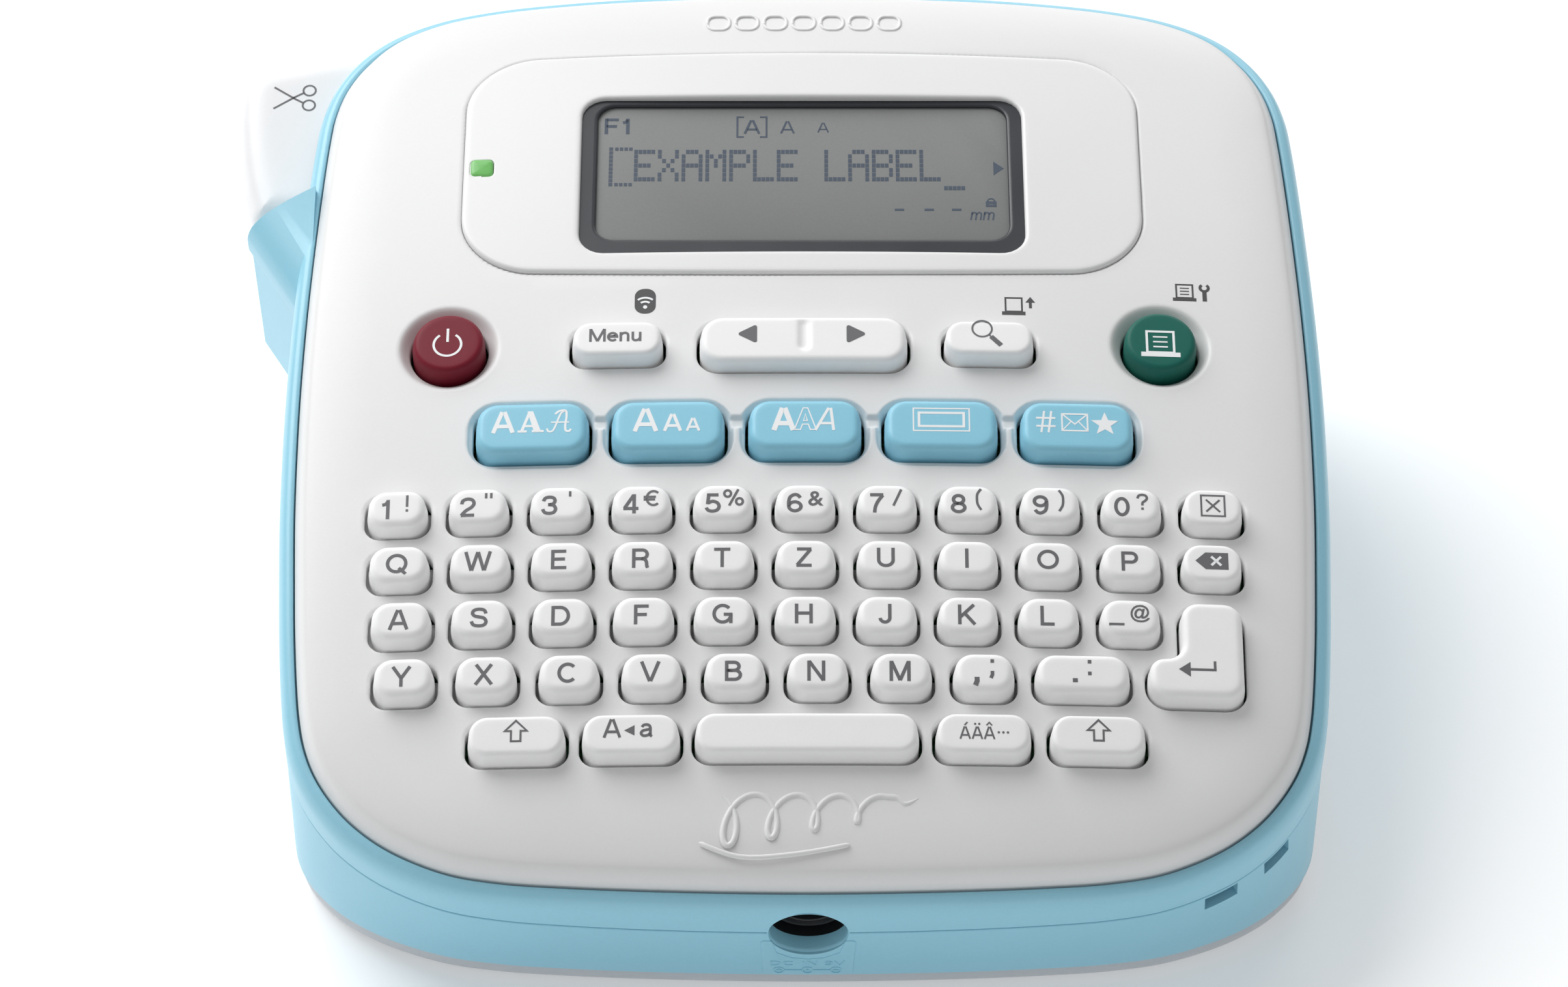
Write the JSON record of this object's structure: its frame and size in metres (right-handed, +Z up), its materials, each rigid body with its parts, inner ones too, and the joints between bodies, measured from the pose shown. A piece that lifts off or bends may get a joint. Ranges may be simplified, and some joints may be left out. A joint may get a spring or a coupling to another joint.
{
  "type": "desktop label maker",
  "caption": "Wedge-shaped desktop label maker with a typewriter keyboard, raised display panel, side cutter lever and tape outlet guard, and a removable back cover.",
  "frame": {"origin": "on the table, under the middle of the object's bounding box", "axes": "+X to the user's right, +Y away from the user towards the high rear edge, +Z up"},
  "size_m": [0.1582, 0.1502, 0.0681],
  "materials": {
    "white_shell": "fine satin moulding",
    "blue_shell": "satin moulding with a faint sparkle",
    "pale_grey_shell": "satin",
    "window_black": "gloss",
    "lcd_grey": "smooth, unlit display glass",
    "light_green": "translucent",
    "board_green": "solder mask",
    "black_plastic": "satin",
    "dark_grey_plastic": "matt",
    "steel": "zinc plated",
    "ceramic_brown": "smooth",
    "aluminium": "plain",
    "brass": "plain",
    "natural_plastic": "satin",
    "rubber_black": "matt",
    "foot_rubber": "matt",
    "blade_steel": "polished",
    "cassette_cream": "satin",
    "key_red": "fine matt",
    "key_green": "fine matt",
    "battery_sleeve": "gloss sleeve",
    "key_blue": "fine matt",
    "key_white": "fine matt"
  },
  "bodies": {
    "housing": {"top_cover": "white_shell", "middle_frame": "blue_shell", "lower_case": "blue_shell", "display_bezel": "white_shell", "display_window": "window_black", "lcd_panel": "lcd_grey", "status_light_pipe": "light_green", "main_board": "board_green", "dc_jack": "black_plastic", "battery_tray": "dark_grey_plastic", "battery_1": "battery_sleeve", "battery_2": "battery_sleeve", "battery_3": "battery_sleeve", "battery_4": "battery_sleeve", "battery_5": "battery_sleeve", "battery_6": "battery_sleeve", "battery_contact_left": "blade_steel", "battery_contact_right": "blade_steel", "drive_chassis": "steel", "tape_cassette": "cassette_cream", "print_head": "ceramic_brown", "head_heat_sink": "aluminium", "drive_motor": "steel"},
    "back_cover": {"back_cover": "pale_grey_shell", "foot_front_left": "foot_rubber", "foot_front_right": "foot_rubber", "foot_rear_left": "foot_rubber", "foot_rear_right": "foot_rubber"},
    "cutter_lever": {"cutter_lever": "white_shell"},
    "cutter_blade": {"cutter_blade": "blade_steel"},
    "motor_pinion": {"motor_pinion": "brass"},
    "idler_gear": {"idler_gear": "natural_plastic"},
    "platen_roller": {"platen_roller": "rubber_black"},
    "ribbon_drive_shaft": {"ribbon_drive_shaft": "natural_plastic"},
    "key_cursor": {"key_cursor": "key_white"},
    "keys_digits": {"keys_digits": "key_white"},
    "keys_upper_letters": {"keys_upper_letters": "key_white"},
    "keys_home_letters": {"keys_home_letters": "key_white"},
    "keys_lower_letters": {"keys_lower_letters": "key_white"},
    "key_symbols": {"key_symbols": "key_white"},
    "key_backspace": {"key_backspace": "key_white"},
    "key_enter": {"key_enter": "key_white"},
    "key_shift_left": {"key_shift_left": "key_white"},
    "key_caps": {"key_caps": "key_white"},
    "key_space": {"key_space": "key_white"},
    "key_accents": {"key_accents": "key_white"},
    "key_shift_right": {"key_shift_right": "key_white"},
    "key_font": {"key_font": "key_blue"},
    "key_text_size": {"key_text_size": "key_blue"},
    "key_text_style": {"key_text_style": "key_blue"},
    "key_frame_style": {"key_frame_style": "key_blue"},
    "key_symbol_menu": {"key_symbol_menu": "key_blue"},
    "key_menu": {"key_menu": "key_white"},
    "key_preview": {"key_preview": "key_white"},
    "key_power": {"key_power": "key_red"},
    "key_print": {"key_print": "key_green"}
  },
  "joints": [
    {"name": "back_cover_off", "type": "slide", "parent": "housing", "child": "back_cover", "axis": [0, 0, -1], "range_m": [0, 0.04]},
    {"name": "lever_press", "type": "hinge", "parent": "housing", "child": "cutter_lever", "pos_m": [-0.04226, 0.05886, 0.05117], "axis": [0, -0.9511, -0.309], "range_deg": [0, 11], "stiffness_Nm_per_rad": 0.8, "springref_deg": -2.86},
    {"name": "blade_stroke", "type": "slide", "parent": "housing", "child": "cutter_blade", "axis": [0, -0.9511, -0.309], "range_m": [0, 0.0031]},
    {"name": "platen_turn", "type": "hinge", "parent": "housing", "child": "platen_roller", "pos_m": [-0.04476, 0.04188, 0.05617], "axis": [0, -0.309, 0.9511], "continuous": true},
    {"name": "idler_turn", "type": "hinge", "parent": "housing", "child": "idler_gear", "pos_m": [-0.04153, 0.02857, 0.05184], "axis": [0, -0.309, 0.9511], "continuous": true},
    {"name": "pinion_turn", "type": "hinge", "parent": "housing", "child": "motor_pinion", "pos_m": [-0.04776, 0.01868, 0.04863], "axis": [0, -0.309, 0.9511], "continuous": true},
    {"name": "ribbon_turn", "type": "hinge", "parent": "housing", "child": "ribbon_drive_shaft", "pos_m": [-0.0273, 0.03047, 0.05246], "axis": [0, -0.309, 0.9511], "continuous": true},
    {"name": "cursor_rock", "type": "hinge", "parent": "housing", "child": "key_cursor", "pos_m": [0.00509, 0.00431, 0.04932], "axis": [0, 0.9511, 0.309], "range_deg": [-3, 3], "stiffness_Nm_per_rad": 0.25},
    {"name": "keys_digits_press", "type": "slide", "parent": "housing", "child": "keys_digits", "axis": [0, 0.309, -0.9511], "range_m": [0, 0.001], "stiffness_N_per_m": 1500},
    {"name": "keys_upper_letters_press", "type": "slide", "parent": "housing", "child": "keys_upper_letters", "axis": [0, 0.309, -0.9511], "range_m": [0, 0.001], "stiffness_N_per_m": 1500},
    {"name": "keys_home_letters_press", "type": "slide", "parent": "housing", "child": "keys_home_letters", "axis": [0, 0.309, -0.9511], "range_m": [0, 0.001], "stiffness_N_per_m": 1500},
    {"name": "keys_lower_letters_press", "type": "slide", "parent": "housing", "child": "keys_lower_letters", "axis": [0, 0.309, -0.9511], "range_m": [0, 0.001], "stiffness_N_per_m": 1500},
    {"name": "key_symbols_press", "type": "slide", "parent": "housing", "child": "key_symbols", "axis": [0, 0.309, -0.9511], "range_m": [0, 0.001], "stiffness_N_per_m": 1200},
    {"name": "key_backspace_press", "type": "slide", "parent": "housing", "child": "key_backspace", "axis": [0, 0.309, -0.9511], "range_m": [0, 0.001], "stiffness_N_per_m": 1200},
    {"name": "key_enter_press", "type": "slide", "parent": "housing", "child": "key_enter", "axis": [0, 0.309, -0.9511], "range_m": [0, 0.001], "stiffness_N_per_m": 1200},
    {"name": "key_shift_left_press", "type": "slide", "parent": "housing", "child": "key_shift_left", "axis": [0, 0.309, -0.9511], "range_m": [0, 0.001], "stiffness_N_per_m": 1200},
    {"name": "key_caps_press", "type": "slide", "parent": "housing", "child": "key_caps", "axis": [0, 0.309, -0.9511], "range_m": [0, 0.001], "stiffness_N_per_m": 1200},
    {"name": "key_space_press", "type": "slide", "parent": "housing", "child": "key_space", "axis": [0, 0.309, -0.9511], "range_m": [0, 0.001], "stiffness_N_per_m": 1200},
    {"name": "key_accents_press", "type": "slide", "parent": "housing", "child": "key_accents", "axis": [0, 0.309, -0.9511], "range_m": [0, 0.001], "stiffness_N_per_m": 1200},
    {"name": "key_shift_right_press", "type": "slide", "parent": "housing", "child": "key_shift_right", "axis": [0, 0.309, -0.9511], "range_m": [0, 0.001], "stiffness_N_per_m": 1200},
    {"name": "key_font_press", "type": "slide", "parent": "housing", "child": "key_font", "axis": [0, 0.309, -0.9511], "range_m": [0, 0.001], "stiffness_N_per_m": 1200},
    {"name": "key_text_size_press", "type": "slide", "parent": "housing", "child": "key_text_size", "axis": [0, 0.309, -0.9511], "range_m": [0, 0.001], "stiffness_N_per_m": 1200},
    {"name": "key_text_style_press", "type": "slide", "parent": "housing", "child": "key_text_style", "axis": [0, 0.309, -0.9511], "range_m": [0, 0.001], "stiffness_N_per_m": 1200},
    {"name": "key_frame_style_press", "type": "slide", "parent": "housing", "child": "key_frame_style", "axis": [0, 0.309, -0.9511], "range_m": [0, 0.001], "stiffness_N_per_m": 1200},
    {"name": "key_symbol_menu_press", "type": "slide", "parent": "housing", "child": "key_symbol_menu", "axis": [0, 0.309, -0.9511], "range_m": [0, 0.001], "stiffness_N_per_m": 1200},
    {"name": "key_menu_press", "type": "slide", "parent": "housing", "child": "key_menu", "axis": [0, 0.309, -0.9511], "range_m": [0, 0.001], "stiffness_N_per_m": 1200},
    {"name": "key_preview_press", "type": "slide", "parent": "housing", "child": "key_preview", "axis": [0, 0.309, -0.9511], "range_m": [0, 0.001], "stiffness_N_per_m": 1200},
    {"name": "key_power_press", "type": "slide", "parent": "housing", "child": "key_power", "axis": [0, 0.309, -0.9511], "range_m": [0, 0.001], "stiffness_N_per_m": 1200},
    {"name": "key_print_press", "type": "slide", "parent": "housing", "child": "key_print", "axis": [0, 0.309, -0.9511], "range_m": [0, 0.001], "stiffness_N_per_m": 1200}
  ],
  "couplings": [
    {"joint": "blade_stroke", "follows": "lever_press", "m_per_rad": 0.0156},
    {"joint": "idler_turn", "follows": "platen_turn", "ratio": -0.58333},
    {"joint": "pinion_turn", "follows": "platen_turn", "ratio": 1.75},
    {"joint": "ribbon_turn", "follows": "platen_turn", "ratio": 1}
  ]
}
